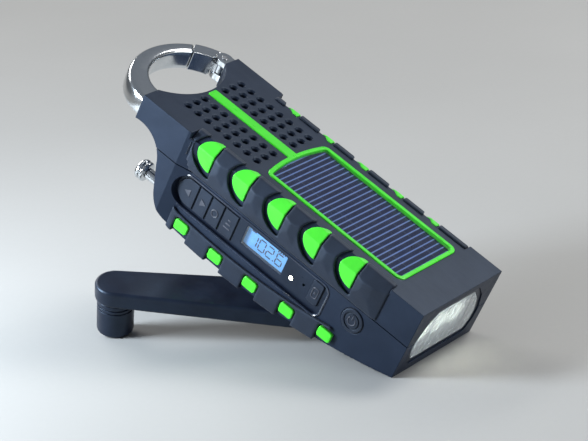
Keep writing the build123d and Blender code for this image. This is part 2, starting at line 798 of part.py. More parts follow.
def gear_outline(teeth, slim=0.30):
    """Spur gear outline: straight-flanked teeth, slim enough to run free in mesh."""
    pitch_r = MODULE * teeth / 2
    tip_r = pitch_r + 0.72 * MODULE
    root_r = pitch_r - 1.0 * MODULE
    step = 2 * math.pi / teeth
    root_half = step * slim
    tip_half = step * slim * 0.42
    points = []
    for i in range(teeth):
        middle = i * step
        for radius, turn in (
            (root_r, -root_half), (tip_r, -tip_half), (tip_r, tip_half), (root_r, root_half)
        ):
            angle = middle + turn
            points.append((radius * math.cos(angle), radius * math.sin(angle)))
    return polygon(*points)


def gear(teeth, spot, y, turn):
    """Gear on an axis along y; turn is the direction of one tooth in degrees from +x."""
    return deep(Pos(*spot) * Rot(0, 0, turn) * gear_outline(teeth), y)


def rotor_spot():
    reach = MODULE * (IDLER_WHEEL_TEETH + ROTOR_TEETH) / 2
    angle = math.radians(ROTOR_ANGLE)
    return (IDLER_SPOT[0] + reach * math.cos(angle), IDLER_SPOT[1] + reach * math.sin(angle))


def drive_gear():
    wheel = gear(DRIVE_TEETH, (0, HUB_Z), LEVEL_A, 90)
    wheel -= rod_y(SHAFT_R + 0.02, (20, 45), 0, HUB_Z)
    for i in range(6):
        angle = math.radians(60 * i)
        wheel -= rod_y(3.0, (20, 45), 9.4 * math.cos(angle), HUB_Z + 9.4 * math.sin(angle))
    return wheel


def idler_gear():
    gap = 180 / IDLER_PINION_TEETH
    small = gear(IDLER_PINION_TEETH, IDLER_SPOT, LEVEL_A, -90 + gap)
    large = gear(IDLER_WHEEL_TEETH, IDLER_SPOT, LEVEL_B, ROTOR_ANGLE)
    hub = rod_y(3.6, (LEVEL_B[1] - 0.1, LEVEL_A[0] + 0.1), *IDLER_SPOT)
    axle = rod_y(1.5, (PLATE_Y[0] - 0.4, LEVEL_A[1] + 1.4), *IDLER_SPOT)
    return small + large + hub + axle


def generator_rotor():
    spot = rotor_spot()
    gap = 180 / ROTOR_TEETH
    pinion = gear(ROTOR_TEETH, spot, (LEVEL_B[0] - 0.2, LEVEL_B[1] + 0.2), ROTOR_ANGLE + 180 + gap)
    shaft = rod_y(1.0, (15.9, LEVEL_B[1] + 0.6), *spot)
    magnet = rod_y(7.4, (18.4, 24.4), *spot)
    return pinion + shaft + magnet


def generator_body():
    spot = rotor_spot()
    can = rod_y(10.0, (16.2, PLATE_Y[0] - 0.05), *spot)
    can -= rod_y(8.0, (17.8, 25.0), *spot)
    return can - rod_y(1.0 + RUN, (10, 40), *spot)


def gearbox_plate():
    plate = block((-20.5, 15.5), PLATE_Y, (25.5, 84.5))
    for x, z in ((-18.2, 31), (-18.2, 58), (13.2, 81), (13.6, 27.6)):
        plate += rod_y(1.8, (PLATE_Y[1] - 0.1, 33.4), x, z)
    plate -= rod_y(SHAFT_R + RUN, (20, 40), 0, HUB_Z)
    plate -= rod_y(1.5 + RUN, (20, 40), *IDLER_SPOT)
    return plate - rod_y(1.0 + RUN, (20, 40), *rotor_spot())


def crank_shaft():
    return rod_y(SHAFT_R, (PLATE_Y[0] - 0.3, PIVOT_Y - 3.3), 0, HUB_Z)


def crank_bush():
    ring = rod_y(4.5, (CHANNEL_Y - CHANNEL_WALL - 0.4, CHANNEL_Y + 0.1), 0, HUB_Z)
    return ring - rod_y(SHAFT_R + RUN, (20, 50), 0, HUB_Z)


# ======== crank ========

def hub_plane():
    """Hub frame: x along the arm's swing direction, y along the hinge pin, z out of the back."""
    swing = math.radians(ARM_SWING)
    along = (-math.sin(swing), 0, math.cos(swing))
    return Plane(origin=(0, PIVOT_Y, HUB_Z), x_dir=along, z_dir=(0, 1, 0))


def arm_plane():
    """Arm frame: origin on the hinge pin, x along the arm, z along the knob."""
    hub = hub_plane()
    origin = hub.from_local_coords((HINGE_OFFSET, 0, 0))
    tilt = math.radians(ARM_TILT)
    x_dir = hub.x_dir * math.cos(tilt) + hub.z_dir * math.sin(tilt)
    z_dir = hub.z_dir * math.cos(tilt) - hub.x_dir * math.sin(tilt)
    return Plane(origin=origin, x_dir=x_dir, z_dir=z_dir)


ROOT_HALF = 4.5                  # half width of the arm's barrel between the hub's ears
PIN_R = 1.5


def crank_hub():
    floor = CHANNEL_Y + 0.3 - PIVOT_Y
    disc = Pos(0, 0, (floor - 3.3) / 2) * Cylinder(HUB_R, -3.3 - floor)
    disc = chamfer(disc.faces().sort_by(Axis.Z)[-1].edges(), 0.6)
    ears = []
    for side in (-1, 1):
        y = side * (ROOT_HALF + 0.1 + 1.5)
        ear = Pos(HINGE_OFFSET, y, 0) * Rot(90, 0, 0) * Cylinder(3.4, 3.0)
        web = Pos(HINGE_OFFSET - 1.2, y, -2.2) * Box(4.4, 3.0, 3.4)
        ears += [ear, web]
    hub = united([disc] + ears)
    hub &= Pos(0, 0, -1) * Cylinder(HUB_R + 1.6, 12)
    hub -= Pos(HINGE_OFFSET, 0, 0) * Rot(90, 0, 0) * Cylinder(PIN_R + 0.02, 20)
    hub -= Cylinder(SHAFT_R + 0.02, 30)
    return hub_plane() * hub


def hinge_pin():
    length = 2 * (ROOT_HALF + 0.1 + 3.0)
    pin = Rot(90, 0, 0) * Cylinder(PIN_R, length)
    return hub_plane() * Pos(HINGE_OFFSET, 0, 0) * pin


def crank_arm():
    start = 5.4
    blade = make_hull(
        (
            (Pos(ARM_LENGTH, 0) * Circle(ARM_END_HALF)).edges()
            + (Pos(start + 5, 0) * RectangleRounded(10, 2 * ARM_ROOT_HALF, 3)).edges()
        )
    )
    arm = Pos(0, 0, -ARM_BACK_THICK) * extrude(blade, amount=ARM_BACK_THICK + ARM_HALF_THICK)
    rims = arm.faces().filter_by(Axis.Z).edges()
    arm = fillet(rims, 1.2)
    barrel = Rot(90, 0, 0) * Cylinder(ARM_HALF_THICK, 2 * ROOT_HALF)
    neck = Pos((start + 1) / 2, 0, 0) * Box(start + 1, 2 * ROOT_HALF, 2 * ARM_HALF_THICK)
    arm += barrel
    arm += neck
    arm -= Rot(90, 0, 0) * Cylinder(PIN_R + RUN, 40)
    arm -= Pos(ARM_LENGTH, 0, 0) * rod_z(1.94, (-2.1, ARM_HALF_THICK + 1), 0, 0)
    return arm_plane() * arm


def crank_knob():
    low = ARM_HALF_THICK + 0.3
    body = rod_z(KNOB_R, (low, KNOB_END), 0, 0)
    body = fillet(body.faces().sort_by(Axis.Z)[-1].edges(), 1.6)
    for z in (low + 1.6, low + 3.2):
        body -= rod_z(KNOB_R + 1, (z, z + 0.6), 0, 0) - rod_z(KNOB_R - 0.6, (z - 1, z + 2), 0, 0)
    body -= rod_z(2.0, (0, 30), 0, 0)
    body -= rod_z(3.6, (KNOB_END - 2.8, 30), 0, 0)
    return arm_plane() * Pos(ARM_LENGTH, 0, 0) * body


def knob_screw():
    shank = rod_z(1.92, (-2.0, KNOB_END - 2.5), 0, 0)
    head = rod_z(3.3, (KNOB_END - 2.6, KNOB_END - 0.8), 0, 0)
    slot = Pos(0, 0, KNOB_END - 0.8) * Box(4.4, 0.8, 1.4)
    cross = Pos(0, 0, KNOB_END - 0.8) * Box(0.8, 4.4, 1.4)
    return arm_plane() * Pos(ARM_LENGTH, 0, 0) * (shank + head - slot - cross)


# ======== antenna ========

def tube(radius, wall, z):
    solid = rod_z(radius, z, ANTENNA_X, ANTENNA_Y)
    bore = rod_z(radius - wall, (z[0] + 1, z[1] + 1), ANTENNA_X, ANTENNA_Y)
    return solid - bore


def antenna_tube():
    return tube(TUBE_R, TUBE_WALL, (61.0, 125.0))


def antenna_section():
    return tube(SECTION_R, TUBE_WALL, (63.0, 130.9))


def antenna_rod():
    return rod_z(ROD_R, (65.0, 133.4), ANTENNA_X, ANTENNA_Y)


def antenna_tip():
    cap = rod_z(CAP_R, (131.2, 135.6), ANTENNA_X, ANTENNA_Y)
    cap = fillet(cap.edges().filter_by(GeomType.CIRCLE), 1.2)
    return cap - rod_z(ROD_R + 0.02, (130, 133.5), ANTENNA_X, ANTENNA_Y)


# ======== assembly ========

def lean_back(shape):
    """Turn a shape from the casing axes to the resting posture."""
    return Rot(LEAN - 90, 0, 0) * shape


def ground_centre(shapes):
    """Move that puts the origin on the ground below the middle of the whole radio."""
    box = Compound(list(shapes)).bounding_box()
    return Pos(-(box.min.X + box.max.X) / 2, -(box.min.Y + box.max.Y) / 2, -box.min.Z)


def build_nodes():
    body = casing_solid()
    walls = casing_walls(body)
    nodes = {
        "front_shell": front_shell(walls),
        "rear_shell": rear_shell(walls),
        "shell_gasket": shell_gasket(walls),
        "shell_screws": shell_screws(),
        "left_front_bumper": front_bumper(-1, body),
        "right_front_bumper": front_bumper(1, body),
        "left_rear_bumper": rear_bumper(-1, body),
        "right_rear_bumper": rear_bumper(1, body),
        "front_edge_pads": front_edge_pads(body),
        "rear_edge_pads": rear_edge_pads(),
        "green_trim": green_trim(),
        "solar_cell": solar_cell(),
        "solar_window": solar_window(),
        "speaker_cloth": speaker_cloth(),
        "speaker_basket": speaker_basket(),
        "speaker_cone": speaker_cone(),
        "speaker_magnet": speaker_magnet(),
        "torch_bezel": torch_bezel(),
        "torch_lens": torch_lens(),
        "torch_reflector": torch_reflector(),
        "torch_leds": torch_leds(),
        "torch_board": torch_board(),
        "carabiner_bow": carabiner_bow(),
        "gate_bracket": gate_bracket(),
        "carabiner_gate": carabiner_gate(),
        "gate_pin": gate_pin(),
        "gate_spring": gate_spring(),
        "control_panel": control_panel(),
        "lamp_button": lamp_button(),
        "power_button": power_button(),
        "lcd_window": lcd_window(),
        "lcd_module": lcd_module(),
        "status_light": status_light(),
        "control_board": control_board(),
        "port_cover": port_cover(),
        "usb_socket": usb_socket(),
        "audio_jacks": audio_jacks(),
        "main_board": main_board(),
        "battery_pack": battery_pack(),
        "ferrite_rod": ferrite_rod(),
        "drive_gear": drive_gear(),
        "idler_gear": idler_gear(),
        "generator_rotor": generator_rotor(),
        "generator_body": generator_body(),
        "gearbox_plate": gearbox_plate(),
        "crank_shaft": crank_shaft(),
        "crank_bush": crank_bush(),
        "crank_hub": crank_hub(),
        "hinge_pin": hinge_pin(),
        "crank_arm": crank_arm(),
        "crank_knob": crank_knob(),
        "knob_screw": knob_screw(),
        "antenna_tube": antenna_tube(),
        "antenna_section": antenna_section(),
        "antenna_rod": antenna_rod(),
        "antenna_tip": antenna_tip(),
    }
    for name, low, high in PANEL_BUTTONS:
        nodes[name] = panel_button(low, high)
    return nodes


os.makedirs("parts", exist_ok=True)
leaning = {name: lean_back(shape) for name, shape in build_nodes().items()}
rest_move = ground_centre(leaning.values())
for node_name, node_shape in leaning.items():
    export_step(rest_move * node_shape, f"parts/{node_name}.step")
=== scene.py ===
import json
import math

import bpy
import bmesh
from mathutils import Matrix, Vector


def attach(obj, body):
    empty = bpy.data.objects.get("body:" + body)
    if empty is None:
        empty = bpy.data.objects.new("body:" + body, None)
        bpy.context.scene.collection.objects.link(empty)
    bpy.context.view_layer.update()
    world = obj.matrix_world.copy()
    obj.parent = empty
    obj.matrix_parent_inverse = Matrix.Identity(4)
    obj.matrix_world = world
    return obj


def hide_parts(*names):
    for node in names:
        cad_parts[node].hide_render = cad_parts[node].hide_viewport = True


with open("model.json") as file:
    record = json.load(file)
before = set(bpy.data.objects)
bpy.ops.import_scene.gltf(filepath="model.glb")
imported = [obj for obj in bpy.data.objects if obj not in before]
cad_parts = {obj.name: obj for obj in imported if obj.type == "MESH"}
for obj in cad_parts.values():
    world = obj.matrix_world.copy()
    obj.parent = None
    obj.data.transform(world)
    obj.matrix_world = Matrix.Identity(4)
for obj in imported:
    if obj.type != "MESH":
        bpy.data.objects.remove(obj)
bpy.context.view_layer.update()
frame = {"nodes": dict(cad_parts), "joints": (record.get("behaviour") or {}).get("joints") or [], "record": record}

# Looks for the hand-held emergency radio. Lengths in this script are millimetres in the casing's
# own axes (x right, y from front to back, z from torch to carabiner) unless a name says otherwise.

NODES = frame["nodes"]
JOINTS = {joint["name"]: joint for joint in frame["joints"]}

MM = 0.001

# ---- casing sizes that the pieces below are built on; pairs of places are (y, z) ----
HUB_Z = 41.0
PIVOT_Y = 44.4
PANEL_Y = (18.0, 32.0)           # front and back edges of the control panel on the left
PANEL_Z = (38.0, 115.5)
PANEL_FOOT_R = 3.0
BEAD_X = -27.45                  # middle of the bead round the control panel
BEAD_R = 0.50
LCD_MIDDLE = (24.0, 69.85)
LCD_SIZE = (8.6, 20.7)
LCD_X = -24.66                   # front of the display module
INK_X = -24.80                   # front of the display's figures
INK_THICK = 0.05
FIGURES = "1026"
FIGURE_Y = 24.3
FIGURE_LOWS = (74.6, 70.5, 66.4, 61.6)
FIGURE_SIZE = (3.0, 4.8)
STROKE_HALF = 0.28
KEY_FACE = -26.9                 # outer face of the keys on the control panel
KEYS_Y = 25.0
ARROWS_Z = (109.0, 101.6)
RING_Z = 95.0
BARS = (23.2, 87.9)              # the first of the volume key's bars
LAMP_KEY = (24.0, 43.0)
POWER_KEY = (22.4, 24.3)
POWER_FACE = -27.98
SOLAR_FOOT_Z = 19.4
STRIP_PITCH = 2.46
BUSBAR_X = 8.4
ANTENNA_SPOT = (-22.0, 34.0)     # the antenna's axis, as (x, y)

# ---- casing axes, read from the crank's and the antenna's joints ----
BACK = Vector(JOINTS["crank_spin"]["axis"]).normalized()
ALONG = Vector(JOINTS["antenna_lower_slide"]["axis"]).normalized()
RIGHT = BACK.cross(ALONG)
ORIGIN = Vector(JOINTS["crank_spin"]["pos_m"]) - (BACK * PIVOT_Y + ALONG * HUB_Z) * MM
CASING = Matrix.Translation(ORIGIN) @ Matrix((RIGHT, BACK, ALONG)).transposed().to_4x4()
TO_ROW = CASING @ Matrix.Scale(MM, 4)


def at(x, y, z):
    """A casing point in row metres."""
    return TO_ROW @ Vector((x, y, z))


# ======== material nodes ========

class Shade:
    """Builds one procedural material; its coordinates are casing millimetres."""

    def __init__(self, name):
        self.material = bpy.data.materials.new(name)
        self.material.use_nodes = True
        self.tree = self.material.node_tree
        self.tree.nodes.clear()
        self.output = self.tree.nodes.new("ShaderNodeOutputMaterial")
        source = self.add("TexCoord")
        turn = CASING.to_euler("XYZ")
        place = self.add("Mapping", vector_type="TEXTURE")
        self.feed(place, Vector=source.outputs["Object"], Location=ORIGIN, Rotation=turn, Scale=(MM, MM, MM))
        self.spot = place.outputs[0]

    def add(self, kind, **settings):
        node = self.tree.nodes.new("ShaderNode" + kind)
        for key, value in settings.items():
            setattr(node, key, value)
        return node

    def feed(self, node, **inputs):
        for key, value in inputs.items():
            self.link(node.inputs[key.replace("_", " ")], value)
        return node

    def link(self, socket, value):
        if isinstance(value, bpy.types.NodeSocket):
            self.tree.links.new(value, socket)
        else:
            socket.default_value = value

    def stretch(self, x, y, z):
        node = self.add("VectorMath", operation="MULTIPLY")
        self.link(node.inputs[0], self.spot)
        node.inputs[1].default_value = (x, y, z)
        return node.outputs[0]

    def noise(self, scale, detail=3.0, rough=0.55, spot=None):
        node = self.add("TexNoise")
        self.feed(node, Vector=spot or self.spot, Scale=scale, Detail=detail, Roughness=rough)
        return node.outputs[0]

    def cells(self, scale, feature="F1", spot=None):
        node = self.add("TexVoronoi", feature=feature)
        self.feed(node, Vector=spot or self.spot, Scale=scale)
        return node.outputs[0]

    def math(self, operation, a, b=0.0, clamp=False):
        node = self.add("Math", operation=operation, use_clamp=clamp)
        self.link(node.inputs[0], a)
        self.link(node.inputs[1], b)
        return node.outputs[0]

    def span(self, value, low, high, start=0.0, stop=1.0):
        node = self.add("MapRange")
        self.feed(node, Value=value, From_Min=low, From_Max=high, To_Min=start, To_Max=stop)
        return node.outputs[0]

    def mix(self, share, a, b):
        node = self.add("Mix", data_type="RGBA")
        self.link(node.inputs[0], share)
        self.link(node.inputs[6], a)
        self.link(node.inputs[7], b)
        return node.outputs[2]

    def axis(self, name):
        node = self.add("SeparateXYZ")
        self.link(node.inputs[0], self.spot)
        return node.outputs[name]

    def rounded(self, radius):
        node = self.add("Bevel", samples=6)
        node.inputs["Radius"].default_value = radius * MM
        return node.outputs[0]

    def edges(self, radius, low=0.02, high=0.3):
        """About 1 along convex and concave edges, 0 on open faces."""
        surface = self.add("NewGeometry")
        dot = self.add("VectorMath", operation="DOT_PRODUCT")
        self.link(dot.inputs[0], self.rounded(radius))
        self.link(dot.inputs[1], surface.outputs["Normal"])
        return self.span(self.math("SUBTRACT", 1.0, dot.outputs["Value"]), low, high)

    def bump(self, height, depth, normal=None):
        node = self.add("Bump")
        self.feed(node, Height=height, Distance=depth * MM, Strength=1.0)
        if normal is not None:
            self.link(node.inputs["Normal"], normal)
        return node.outputs[0]

    def surface(self, **inputs):
        node = self.add("BsdfPrincipled")
        self.feed(node, **inputs)
        self.tree.links.new(node.outputs[0], self.output.inputs[0])
        return self.material


def rgb(r, g, b):
    return (r, g, b, 1.0)


def plastic(name, base, tint, rough=(0.42, 0.56), grain=2.2, depth=0.018, soft=0.35, wear=0.25,
            scuff=rgb(0.08, 0.10, 0.14), sheen=0.0, coat=0.0, specular=0.5,
            glint=rgb(1.0, 1.0, 1.0)):
    """Moulded plastic or rubber: spark-eroded grain, mottled colour, scuffed edges."""
    s = Shade(name)
    broad = s.noise(0.09, 4.0)
    fine = s.noise(grain, 3.0, 0.65)
    pits = s.cells(grain * 0.9)
    colour = s.mix(s.span(broad, 0.35, 0.65), base, tint)
    speckle = s.mix(s.span(fine, 0.3, 0.75, 0.0, 0.35), colour, base)
    edge = s.math("MULTIPLY", s.edges(soft * 1.6), s.span(s.noise(0.8, 5.0, 0.7), 0.42, 0.7), True)
    worn = s.mix(s.math("MULTIPLY", edge, wear), speckle, scuff)
    streak = s.noise(0.35, 6.0, 0.7, s.stretch(1.0, 1.0, 0.25))
    roughness = s.math("ADD", s.span(streak, 0.3, 0.7, *rough), s.math("MULTIPLY", edge, 0.12))
    height = s.math("ADD", s.math("MULTIPLY", fine, 0.7), s.math("MULTIPLY", pits, 0.5))
    normal = s.bump(height, depth, s.rounded(soft))
    return s.surface(Base_Color=worn, Roughness=roughness, Normal=normal, Sheen_Weight=sheen,
                     Coat_Weight=coat, Coat_Roughness=0.2, Specular_IOR_Level=specular, Specular_Tint=glint)


def metal(name, base, tint, rough=(0.1, 0.24), soft=0.35, brush=(0.4, 0.4, 6.0), depth=0.004, marks=0.25):
    """Plated or bare metal: brushed lines, smears, fine scratches and dulled edges."""
    s = Shade(name)
    lines = s.noise(1.6, 4.0, 0.7, s.stretch(*brush))
    smear = s.noise(0.16, 5.0, 0.6)
    scratch = s.span(s.cells(0.5, "DISTANCE_TO_EDGE", s.stretch(1.0, 1.7, 0.5)), 0.0, 0.012, 1.0, 0.0)
    marked = s.math("MULTIPLY", s.math("MULTIPLY", scratch, s.span(s.noise(0.7), 0.5, 0.65)), marks)
    colour = s.mix(s.span(smear, 0.35, 0.68), base, tint)
    polish = s.math("ADD", s.math("MULTIPLY", lines, 0.4), s.math("MULTIPLY", smear, 0.6))
    roughness = s.math("ADD", s.span(polish, 0.35, 0.7, *rough), s.math("MULTIPLY", marked, 0.4))
    normal = s.bump(s.math("SUBTRACT", s.math("MULTIPLY", lines, 0.5), marked), depth, s.rounded(soft))
    return s.surface(Base_Color=colour, Metallic=1.0, Roughness=roughness, Normal=normal)


def solar_material():
    """Dark blue cells cut into strips across the panel, with finger lines and two busbars."""
    s = Shade("solar_cells")
    z = s.axis("Z")
    x = s.axis("X")
    strip = s.math("FRACT", s.math("DIVIDE", s.math("SUBTRACT", z, SOLAR_FOOT_Z), STRIP_PITCH))
    rim = s.math("ABSOLUTE", s.math("SUBTRACT", strip, 0.5))
    finger = s.span(rim, 0.36, 0.41)
    thread = s.math("FRACT", s.math("MULTIPLY", x, 0.8))
    fine = s.span(s.math("ABSOLUTE", s.math("SUBTRACT", thread, 0.5)), 0.44, 0.49)
    off_bar = s.math("ABSOLUTE", s.math("SUBTRACT", s.math("ABSOLUTE", x), BUSBAR_X))
    bar = s.span(off_bar, 0.25, 0.45, 1.0, 0.0)
    cell = s.mix(s.span(s.cells(0.22), 0.1, 0.9), rgb(0.004, 0.008, 0.034), rgb(0.008, 0.017, 0.062))
    shade = s.mix(s.span(s.noise(0.05, 3.0), 0.35, 0.65), cell, rgb(0.010, 0.012, 0.045))
    lined = s.mix(s.math("MULTIPLY", fine, 0.05), shade, rgb(0.12, 0.16, 0.30))
    ruled = s.mix(s.math("MULTIPLY", finger, 0.90), lined, rgb(0.190, 0.270, 0.540))
    barred = s.mix(s.math("MULTIPLY", bar, 0.07), ruled, rgb(0.25, 0.30, 0.42))
    dust = s.span(s.noise(0.6, 6.0, 0.7), 0.4, 0.8, 0.12, 0.26)
    normal = s.bump(s.math("ADD", finger, s.math("MULTIPLY", s.noise(0.25), 0.3)), 0.03)
    return s.surface(Base_Color=barred, Roughness=dust, Normal=normal, Specular_IOR_Level=0.25)


def clear_material(name, tint, ripple=None, gloss=0.05, depth=0.02, show=0.9):
    """Clear cover: mostly see-through, with a fresnel gloss, haze patches and faint waviness."""
    s = Shade(name)
    haze = s.span(s.noise(0.3, 6.0, 0.7), 0.45, 0.75)
    height = s.noise(0.12, 2.0)
    if ripple:
        wave = s.math("SINE", s.math("MULTIPLY", s.axis(ripple[0]), ripple[1]))
        height = s.math("ADD", height, s.math("MULTIPLY", wave, ripple[2]))
    normal = s.bump(height, depth, s.rounded(0.3))
    through = s.add("BsdfTransparent")
    s.feed(through, Color=tint)
    shine = s.add("BsdfGlossy")
    s.feed(shine, Color=rgb(1, 1, 1), Normal=normal,
           Roughness=s.math("ADD", gloss, s.math("MULTIPLY", haze, 0.04)))
    veil = s.add("BsdfDiffuse")
    s.feed(veil, Color=rgb(0.8, 0.86, 0.9), Normal=normal)
    body = s.add("MixShader")
    s.link(body.inputs[0], s.span(haze, 0.0, 1.0, 1.0 - show, 1.012 - show))
    s.link(body.inputs[1], through.outputs[0])
    s.link(body.inputs[2], veil.outputs[0])
    glint = s.add("Fresnel")
    s.feed(glint, IOR=1.5, Normal=normal)
    outside = s.math("SUBTRACT", 1.0, s.add("NewGeometry").outputs["Backfacing"])
    both = s.add("MixShader")
    s.link(both.inputs[0], s.math("MULTIPLY", glint.outputs[0], outside))
    s.link(both.inputs[1], body.outputs[0])
    s.link(both.inputs[2], shine.outputs[0])
    s.tree.links.new(both.outputs[0], s.output.inputs[0])
    return s.material


def lcd_material():
    """Lit pale blue display ground with a soft falloff and a very fine dot grid."""
    s = Shade("lcd_ground")
    y = s.axis("Y")
    z = s.axis("Z")
    grid_y = s.span(s.math("ABSOLUTE", s.math("SINE", s.math("MULTIPLY", y, 9.0))), 0.0, 0.35)
    grid_z = s.span(s.math("ABSOLUTE", s.math("SINE", s.math("MULTIPLY", z, 9.0))), 0.0, 0.35)
    grid = s.math("MULTIPLY", grid_y, grid_z)
    glow = s.span(z, 59.0, 80.0)
    base = s.mix(glow, rgb(0.20, 0.50, 0.80), rgb(0.12, 0.36, 0.66))
    mottle = s.mix(s.span(s.noise(0.5, 4.0), 0.35, 0.7, 0.0, 0.3), base, rgb(0.35, 0.60, 0.88))
    dotted = s.mix(s.span(grid, 0.0, 1.0, 0.22, 0.0), mottle, rgb(0.06, 0.16, 0.36))
    normal = s.bump(grid, 0.01)
    return s.surface(Base_Color=dotted, Roughness=s.span(s.noise(1.2), 0.3, 0.7, 0.25, 0.4), Normal=normal,
                     Emission_Color=dotted, Emission_Strength=0.22)


def board_material():
    """Green circuit board: copper tracks under solder mask, with pads."""
    s = Shade("circuit_board")
    tracks = s.span(s.cells(0.33, "DISTANCE_TO_EDGE"), 0.02, 0.05, 1.0, 0.0)
    pads = s.span(s.cells(0.55), 0.0, 0.18, 1.0, 0.0)
    mask = s.mix(s.span(s.noise(0.2, 4.0), 0.4, 0.6), rgb(0.010, 0.10, 0.045), rgb(0.014, 0.14, 0.055))
    traced = s.mix(s.math("MULTIPLY", tracks, 0.5), mask, rgb(0.04, 0.26, 0.10))
    finish = s.mix(s.math("MULTIPLY", pads, 0.8), traced, rgb(0.62, 0.60, 0.52))
    normal = s.bump(s.math("ADD", tracks, pads), 0.03, s.rounded(0.2))
    return s.surface(Base_Color=finish, Roughness=s.span(pads, 0.0, 1.0, 0.42, 0.25), Normal=normal,
                     Metallic=s.math("MULTIPLY", pads, 0.7))


def cloth_material():
    """Black acoustic cloth in a plain weave."""
    s = Shade("acoustic_cloth")
    warp = s.math("SINE", s.math("MULTIPLY", s.axis("X"), 14.0))
    weft = s.math("SINE", s.math("MULTIPLY", s.axis("Z"), 14.0))
    weave = s.math("MULTIPLY", warp, weft)
    fuzz = s.noise(3.0, 5.0, 0.7)
    colour = s.mix(s.span(weave, -1.0, 1.0), rgb(0.003, 0.003, 0.004), rgb(0.012, 0.013, 0.016))
    colour = s.mix(s.span(fuzz, 0.4, 0.8, 0.0, 0.4), colour, rgb(0.02, 0.02, 0.022))
    return s.surface(Base_Color=colour, Roughness=s.span(fuzz, 0.3, 0.7, 0.8, 0.95), Sheen_Weight=0.2,
                     Normal=s.bump(weave, 0.08))


def led_material():
    """Clear resin over a yellow phosphor, slightly lit."""
    s = Shade("led_resin")
    depth = s.span(s.noise(0.9, 2.0), 0.3, 0.7)
    colour = s.mix(depth, rgb(0.90, 0.92, 0.88), rgb(0.95, 0.88, 0.55))
    return s.surface(Base_Color=colour, Roughness=s.span(s.noise(2.0), 0.3, 0.7, 0.08, 0.2),
                     Normal=s.bump(s.noise(0.8), 0.03, s.rounded(0.3)), Coat_Weight=0.8,
                     Emission_Color=colour, Emission_Strength=16.0)


def wrap_material():
    """Battery shrink wrap with soft wrinkles."""
    s = Shade("battery_wrap")
    wrinkle = s.noise(0.35, 5.0, 0.6, s.stretch(1.0, 1.0, 0.2))
    colour = s.mix(s.span(wrinkle, 0.4, 0.65), rgb(0.02, 0.06, 0.26), rgb(0.03, 0.09, 0.34))
    return s.surface(Base_Color=colour, Roughness=s.span(wrinkle, 0.3, 0.7, 0.22, 0.4),
                     Normal=s.bump(wrinkle, 0.15, s.rounded(0.4)), Coat_Weight=0.4)


NAVY = rgb(0.0105, 0.0160, 0.0320)
NAVY_LIT = rgb(0.0150, 0.0225, 0.0430)
# Lighter navy used only on the panel bead: a painted highlight along the panel's rim
NAVY_PAINTED_HIGHLIGHT = rgb(0.030, 0.045, 0.080)
INK = rgb(0.0050, 0.0068, 0.0160)
BLUE_GLINT = rgb(0.60, 0.78, 1.0)
GREEN = rgb(0.070, 0.840, 0.025)
GREEN_DEEP = rgb(0.050, 0.720, 0.018)

